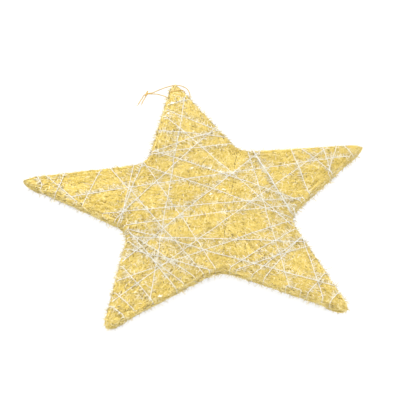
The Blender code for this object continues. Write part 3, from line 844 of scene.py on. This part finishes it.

# %% [markdown]
# ## The tinsel yarn's core
#
# One long yarn binds the star. Each run crosses the face from one place on the rim to another,
# turns round the rim and crosses the back to the next run's start. Places on the rim are counted
# clockwise from corner to corner: 0 is the loop arm's tip, 1 the notch after it, 2 the next tip.
# Each run was traced in the picture. Its places on the rim were then worked out with the
# camera above and moved a little apart where they crowded. The first 34 runs are those of the
# solid yarn, and the rest are added here. The later runs lie a little over the earlier ones. A back
# run that would leave the star at a notch is caught in its fibres and follows the notch's edge.

# %% Places on the rim
SIDE_MIDDLE = (0.35, 0.65)


def sharp_corners():
    """The outline's tips and notches in turn, before rounding, clockwise from the loop arm.

    Each side is straight in its middle part. A line through two points there meets the line of
    the side before it in the corner that the rounding has taken away.
    """
    tips = np.sort([np.linalg.norm(outline - tip, axis=1).argmin() for tip in TIPS])
    tips = np.roll(tips, -outline[tips, 1].argmax())
    gaps = (np.roll(tips, -1) - tips) % len(outline)
    stretches = [(tip + np.arange(gap)) % len(outline) for tip, gap in zip(tips, gaps)]
    notches = [stretch[outline_reaches[stretch].argmin()] for stretch in stretches]
    turns = np.column_stack([tips, notches]).ravel()
    spans = (np.roll(turns, -1) - turns) % len(outline)
    near, far = (outline[(turns + share * spans).astype(int) % len(outline)]
                 for share in SIDE_MIDDLE)
    way = far - near
    near_before, way_before = np.roll(near, 1, axis=0), np.roll(way, 1, axis=0)
    between = near - near_before
    steps = ((between[:, 0] * way[:, 1] - between[:, 1] * way[:, 0])
             / (way_before[:, 0] * way[:, 1] - way_before[:, 1] * way[:, 0]))
    return near_before + way_before * steps[:, None]


CORNERS = sharp_corners()


def rim_angles(places):
    """The angle of each place: its point is a share of the way from one corner to the next."""
    first = np.floor(places).astype(int) % len(CORNERS)
    share = (places % 1)[..., None]
    return angle_at(CORNERS[first] * (1 - share) + CORNERS[(first + 1) % len(CORNERS)] * share)


print("corners in mm:", (CORNERS / MM).round().tolist())

# %% Where the yarn runs
CORE = 1.15 * MM
RUNS = rim_angles(np.array([
    (4.48, 1.06), (2.88, 7.04), (8.89, 7.08), (8.98, 5.04), (3.11, 9.55), (0.72, 9.62),
    (0.28, 9.68), (0.23, 5.59), (6.26, 1.69), (2.21, 7.56), (8.64, 7.42), (8.22, 7.47),
    (6.95, 5.21), (6.66, 1.16), (2.43, 1.48), (2.72, 1.40), (2.79, 7.24), (8.71, 5.14),
    (3.06, 6.46), (5.73, 6.34), (5.31, 6.86), (3.02, 8.94), (7.13, 0.68), (9.37, 0.81),
    (9.13, 2.83), (1.11, 2.97), (6.90, 3.29), (4.88, 3.34), (4.76, 3.25), (4.93, 3.15),
    (5.09, 6.78), (2.92, 4.23), (3.74, 6.99), (9.09, 0.90),
    (8.97, 7.10), (5.58, 6.60), (6.97, 5.38), (9.12, 0.72), (1.65, 2.44), (1.76, 2.47),
    (1.82, 2.17), (3.24, 4.67), (3.62, 4.34), (3.82, 4.17), (4.50, 4.39), (2.96, 1.10),
    (8.36, 7.66), (8.15, 7.79), (6.21, 5.82),
]))
TURN_BENDS = np.radians(np.linspace(80, -80, 9))
FACE_STEPS, BACK_STEPS, YARN_STEP = 70, 40, 2.0 * MM
BACK_MARGIN = 5 * MM
RIM_SINK, FACE_SINK = 1.6 * MM, 0.12 * MM
SHORT_WAVER, LONG_WAVER, WAVER_WIDTH = 7 * MM, 17 * MM, 0.3 * MM
LOWEST_RUN, HIGHEST_RUN = 0.1 * MM, 1.3 * MM


def rim_turns(angles, over):
    """Half circles about the rim's centre line, face to back, and the way out from that line.

    The yarn is pulled tight there, so it sinks into the rim's fibres, deepest half way round.
    """
    facing = rim_facing(angles)[:, None]
    edge = (compass(angles) * rim_reach(angles)[:, None])[:, None]
    ups = np.broadcast_to(np.sin(TURN_BENDS)[:, None], (len(angles), len(TURN_BENDS), 1))
    ways = np.concatenate([facing * np.cos(TURN_BENDS)[:, None], ups], axis=-1)
    centre = np.concatenate([edge - facing * RIM_HALF,
                             np.full((len(angles), 1, 1), RIM_HEIGHT)], axis=-1)
    buried = RIM_SINK * np.cos(TURN_BENDS)[:, None]
    return centre + ways * ((RIM_HALF + CORE / 2 + over)[:, None, None] - buried), ways


def crossings(starts, ends, steps):
    """Straight plan lines from starts to ends, wavering a little sideways between them.

    The waver is a short and a long sine wave added up, and fades out towards both ends.
    """
    share = np.linspace(0, 1, steps)[None, :, None]
    line = starts[:, None] + (ends - starts)[:, None] * share
    length = np.linalg.norm(ends - starts, axis=1)[:, None, None]
    sideways = unit((ends - starts)[:, ::-1] * (1, -1))[:, None]
    phase = rng.uniform(0, math.tau, (len(starts), 1, 1))
    waver = (np.sin(share * length / SHORT_WAVER + phase)
             + np.sin(share * length / LONG_WAVER + 2 * phase))
    return line + sideways * waver * np.sin(share * math.pi) ** 0.5 * WAVER_WIDTH


print(f"{len(RUNS)} runs from rim to rim")

# %% [markdown]
# The route is put together in whole arrays, one row for each run: over the face, round the rim,
# across the back, and round the rim again. Beside each point the table holds the way out of the
# star there and the run's number. Then the rows are joined end to end.

# %% The yarn's route
over = np.linspace(LOWEST_RUN, HIGHEST_RUN, len(RUNS))
start_turns, start_ways = rim_turns(RUNS[:, 0], over)
end_turns, end_ways = rim_turns(RUNS[:, 1], over)
face = crossings(start_turns[:, 0, :2], end_turns[:, 0, :2], FACE_STEPS)
face_z = face_height(face) + CORE / 2 + over[:, None] - FACE_SINK
next_turns, next_ways = (np.roll(turns[:, ::-1], -1, axis=0) for turns in (start_turns, start_ways))
under = crossings(end_turns[:, -1, :2], next_turns[:, 0, :2], BACK_STEPS)
allowed = rim_reach(angle_at(under)) - BACK_MARGIN
under = under * (np.minimum(reach_at(under), allowed) / reach_at(under))[..., None]
under_z = RIM_HEIGHT - RIM_HALF - foot_depth(under) - CORE / 2 - over[:, None]
under_z = np.maximum(under_z, CORE / 2 + TABLE_EASE)
upright = np.array([0, 0, 1.0])
route = np.concatenate([np.concatenate([face, face_z[..., None]], axis=-1), end_turns,
                        np.concatenate([under, under_z[..., None]], axis=-1), next_turns], axis=1)
ways = np.concatenate([np.broadcast_to(upright, (*face.shape[:2], 3)), end_ways,
                       np.broadcast_to(-upright, (*under.shape[:2], 3)), next_ways], axis=1)
number = np.broadcast_to(np.arange(len(RUNS))[:, None, None], (*route.shape[:2], 1))
# The yarn's end is tucked in half way along the last back run.
finish = len(RUNS) * route.shape[1] - BACK_STEPS // 2 - len(TURN_BENDS)
table = np.concatenate([route, ways, number], axis=-1).reshape(-1, 7)[:finish]
yarn = even_steps(table, YARN_STEP)
yarn_places = yarn[:, :2]
yarn_line = yarn[:, :3] + np.array([*MIDDLE, 0])
yarn_ups, yarn_run = unit(yarn[:, 3:6]), yarn[:, 6].astype(int)
yarn_ahead = headings(yarn_line)
yarn_length = len(yarn) * YARN_STEP
print(f"yarn: {yarn_length:.1f} m in {len(RUNS)} runs")

# %% [markdown]
# The core is a soft strand, a little flatter than round, that turns once in 7 mm. Its flat sides
# catch the light in turn, so it reads as spun yarn and not as wire.

# %% The core as a mesh
CORE_PITCH = 7 * MM
twist = np.arange(len(yarn))[None] * math.tau * YARN_STEP / CORE_PITCH
core = strand_mesh("tinsel_core", yarn_line[None], yarn_ups[None], CORE * 0.48, CORE * 0.38, 5,
                   0.65 + 0.25 * np.sin(twist * 2.3), core_white, turns=twist)
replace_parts(core, "tinsel_yarn")

# %% [markdown]
# ## The whiskers
#
# Film whiskers stand out sideways from the core like lashes, 4 to 7 mm long. They are matted: in
# some stretches they fan out as a comb on one side, in others they are pressed flat or gone. So
# slow noise along the yarn sets how many there are, on which side, and which way they lean. Nearly
# half of those on the face are shed: they lie loose beside the yarn, any way round. Each is a flat
# blade that narrows to a point. Film mirrors what it faces; here that is painted: most whiskers get
# a pale tone, a painted glint, and the rest a dull brown, a painted dull reflection.

# %% Blades and slow noise
def blade_mesh(name, roots, ways, ups, lengths, widths, curl, tone):
    """Flat blades in two parts, root to middle and middle to tip, as closed three-sided meshes.

    A blade's middle is half way along its length and stands off by its curl. Its section is a low
    triangle, nearly as wide at the middle as at the root.
    """
    aside = unit(np.cross(ways, ups))
    ring = np.array([[-1, 0], [1, 0], [0, 0.35]])
    across = aside[:, None] * ring[:, :1] + np.cross(aside, ways)[:, None] * ring[:, 1:]
    middles = roots + ways * (lengths * 0.5)[:, None] + ups * curl[:, None]
    points = np.concatenate([roots[:, None] + across * (widths / 2)[:, None, None],
                             middles[:, None] + across * (widths * 0.42)[:, None, None],
                             (roots + ways * lengths[:, None])[:, None]], axis=1)
    first = np.arange(len(roots))[:, None, None] * 7
    walls = first + np.array([[3, 4, 1, 0], [4, 5, 2, 1], [5, 3, 0, 2]])
    tips = first + np.array([[6, 4, 3], [6, 5, 4], [6, 3, 5]])
    caps = first + np.array([[1, 2, 0]])
    return make_mesh(name, points.reshape(-1, 3),
                     [walls.reshape(-1, 4), tips.reshape(-1, 3), caps.reshape(-1, 3)], film,
                     np.repeat(tone, 7))


def slow_noise(at, wave):
    """Smooth random values between -1 and 1 at steps along the yarn, one swing per wavelength.

    A random value at each wavelength is joined to the next by a smooth step.
    """
    knots = rng.uniform(-1, 1, int(yarn_length / wave) + 3)
    place = at * YARN_STEP / wave
    low = place.astype(int)
    share = place - low
    share = share**2 * (3 - 2 * share)
    return knots[low] * (1 - share) + knots[low + 1] * share


THIN_OUT, THINNEST, OFF_FACE = 14 * MM, 0.25, 0.12
every_step = np.arange(len(yarn), dtype=float)
to_rim = rim_reach(angle_at(yarn_places)) - reach_at(yarn_places)
on_face = np.where(yarn_ups[:, 2] > 0.9, np.clip(to_rim / THIN_OUT, THINNEST, 1), OFF_FACE)
run_fullness = rng.uniform(0.5, 1.0, len(RUNS))[yarn_run]
bursts = 0.8 + 0.5 * slow_noise(every_step, 30 * MM) + 0.35 * slow_noise(every_step, 9 * MM)
bursts = np.clip(bursts, 0.1, 1.3)
chance = on_face * run_fullness * bursts
chance /= chance.sum()
print("steps with many whiskers:", int((bursts > 1).sum()), "of", len(yarn))

# %% [markdown]
# Whiskers are then set along the yarn by those chances: the running sum of the chances is read
# backwards at even shares from 0 to 1. A shed whisker is moved off sideways onto the face, unless
# it would fall off the star.

# %% Whiskers along the yarn
WHISKERS, PAINTED_GLINT_SHARE = 5600, 0.8
SHED, SHED_MARGIN, SHED_SPREAD = 0.45, 10 * MM, 9
quantiles = (np.arange(WHISKERS) + rng.uniform(0, 1, WHISKERS)) / WHISKERS
at = np.interp(quantiles, np.cumsum(chance), every_step)
low = np.minimum(at.astype(int), len(yarn) - 2)
share = (at - low)[:, None]
ups, ahead = yarn_ups[low], yarn_ahead[low]
aside = unit(np.cross(ahead, ups))
one_sided = slow_noise(at, 40 * MM) * 1.2
side = np.where(rng.uniform(-1, 1, WHISKERS) < one_sided, 1.0, -1.0)
lean = 0.55 * slow_noise(at, 18 * MM) + rng.normal(0, 0.2, WHISKERS)
rise = np.clip(0.05 + 0.15 * slow_noise(at, 15 * MM) + rng.normal(0, 0.08, WHISKERS), 0.0, 0.6)
shed = (rng.uniform(0, 1, WHISKERS) < SHED) & (ups[:, 2] > 0.95)
lean = np.where(shed, rng.normal(0, 1.2, WHISKERS), lean)
away = np.where(shed, abs(rng.normal(0, SHED_SPREAD, WHISKERS)) * MM, 0.0)
fallen = (yarn_line[low] + aside * (side * away)[:, None])[:, :2] - MIDDLE
past_edge = reach_at(fallen) > rim_reach(angle_at(fallen)) - SHED_MARGIN
print("shed whiskers that stay at the yarn:", int((past_edge & shed).sum()))
away[past_edge] = 0.0
roots = (yarn_line[low] * (1 - share) + yarn_line[low + 1] * share
         + aside * (side * away)[:, None] - upright * np.where(shed, over[yarn_run[low]], 0)[:, None])
ways = unit(aside * side[:, None] + ahead * lean[:, None] + ups * rise[:, None])
# Painted glint: most whiskers get a pale tone, the rest a brown one as a painted dull reflection.
bright = rng.uniform(0, 1, WHISKERS) < PAINTED_GLINT_SHARE
tone = np.where(bright, rng.uniform(0.7, 1.0, WHISKERS), rng.uniform(0.0, 0.5, WHISKERS))
blade_mesh("tinsel_whiskers", roots, ways, ups, rng.uniform(3.6, 7.4, WHISKERS) * MM,
           rng.uniform(0.5, 0.8, WHISKERS) * MM, rng.normal(0.1, 0.3, WHISKERS) * MM, tone)

# %% [markdown]
# In a few places the whiskers are folded over into a bright tuft. These places too were marked in
# the picture and worked out in whole millimetres from the middle.

# %% Bright tufts
TUFTS = np.array([(9, 9), (-6, 56), (25, 15), (15, 53), (26, 45), (-12, 177), (-14, 176),
                  (-20, 158), (-67, -134)]) * MM
BLADES, TUFT_LIFT, TUFT_CURL = 12, 0.9 * MM, 0.2 * MM
tuft = np.repeat(TUFTS, BLADES, axis=0)
turn = rng.uniform(0, math.tau, len(tuft))
tuft_roots = np.column_stack([tuft + MIDDLE, face_height(tuft) + TUFT_LIFT])
tuft_ways = unit(np.column_stack([np.cos(turn), np.sin(turn), rng.uniform(0, 0.3, len(tuft))]))
# The tufts' near-white tone, 0.9 to 1, is a painted glint.
blade_mesh("tinsel_tufts_painted_glint", tuft_roots, tuft_ways, np.tile(upright, (len(tuft), 1)),
           rng.uniform(1.6, 3.4, len(tuft)) * MM, rng.uniform(0.8, 1.2, len(tuft)) * MM,
           np.full(len(tuft), TUFT_CURL), rng.uniform(0.9, 1.0, len(tuft)))

# %% [markdown]
# Stray whiskers stand out past the star's edge, thickest where the yarn turns round the rim.

# %% Strays past the rim
TURN_STRAYS, RIM_STRAYS = 400, 1300
at_rim = np.nonzero(abs(yarn_ups[:, 2]) < 0.9)[0]
spot = rng.choice(at_rim, TURN_STRAYS)
beside_yarn = unit(np.cross(yarn_ahead[spot], yarn_ups[spot]))
off_turns = unit(yarn_ups[spot] * rng.uniform(0.1, 1.2, (TURN_STRAYS, 1))
                 + beside_yarn * rng.normal(0, 1, (TURN_STRAYS, 1)))
stray_roots, stray_ups, off_edge = rim_ends(RIM_STRAYS)
strays = TURN_STRAYS + RIM_STRAYS
blade_mesh("tinsel_strays", np.vstack([yarn_line[spot], stray_roots]),
           np.vstack([off_turns, off_edge]), np.vstack([yarn_ups[spot], stray_ups]),
           rng.uniform(3, 8, strays) * MM, rng.uniform(0.3, 0.6, strays) * MM,
           rng.normal(0, 0.6, strays) * MM, rng.uniform(0, 0.8, strays))

# %% [markdown]
# ## Floor and light
#
# The picture is a product shot cut out on white, without shadows. So the floor is a light table:
# a pale sheet that glows softly, which fills the shadows under the star and lights its rim. A bright
# even sky does most of the work, and one large soft lamp overhead from the left gives the film
# something to glint with.

# %% Studio
PALE_SHEET, WHITE_GLOW, GLOW_STRENGTH = "#646463", "#ffffff", 0.84
FLOOR_HALF = 4
SKY_COLOUR, SKY_STRENGTH = (1.0, 1.0, 1.0, 1.0), 1.95
LAMP_SIZE, LAMP_WATTS, LAMP_PLACE = 0.8, 5, (-0.6, 0.35, 1.1)

floor_material, _, _ = new_material(
    "light_table_floor", Base_Color=linear(PALE_SHEET), Roughness=0.9,
    Emission_Color=linear(WHITE_GLOW), Emission_Strength=GLOW_STRENGTH)
floor_mesh = bpy.data.meshes.new("studio_floor")
floor_corners = np.array([(-1, -1, 0), (1, -1, 0), (1, 1, 0), (-1, 1, 0)]) * FLOOR_HALF
floor_mesh.from_pydata(floor_corners.tolist(), [], [(0, 1, 2, 3)])
floor_mesh.materials.append(floor_material)
floor = bpy.data.objects.new("studio_floor", floor_mesh)
bpy.context.scene.collection.objects.link(floor)
floor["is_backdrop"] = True

world = bpy.data.worlds.new("studio_sky")
world.use_nodes = True
sky = world.node_tree.nodes["Background"].inputs
sky["Color"].default_value = SKY_COLOUR
sky["Strength"].default_value = SKY_STRENGTH
bpy.context.scene.world = world

lamp_data = bpy.data.lights.new("softbox", "AREA")
lamp_data.size, lamp_data.energy = LAMP_SIZE, LAMP_WATTS
lamp = bpy.data.objects.new("softbox", lamp_data)
lamp.location = LAMP_PLACE
lamp.rotation_euler = Vector(LAMP_PLACE).to_track_quat("Z", "Y").to_euler()
bpy.context.scene.collection.objects.link(lamp)
bpy.context.scene.view_settings.view_transform = "Standard"
print("floor, sky and one softbox")

# %% [markdown]
# ## Sizes
#
# The solid's box and the dressed part's box are printed in millimetres; loose fibre stands a little
# proud of the solid. The dressed part must stay inside the solid's box, apart from what loose fibre
# may stand proud.

# %% Print both boxes
visual_low, visual_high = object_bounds()
for box, ends in (("solid", (cad_low, cad_high)), ("dressed", (visual_low, visual_high))):
    print(box, "box in mm:", [round((high - low) / MM, 1) for low, high in zip(*ends)])
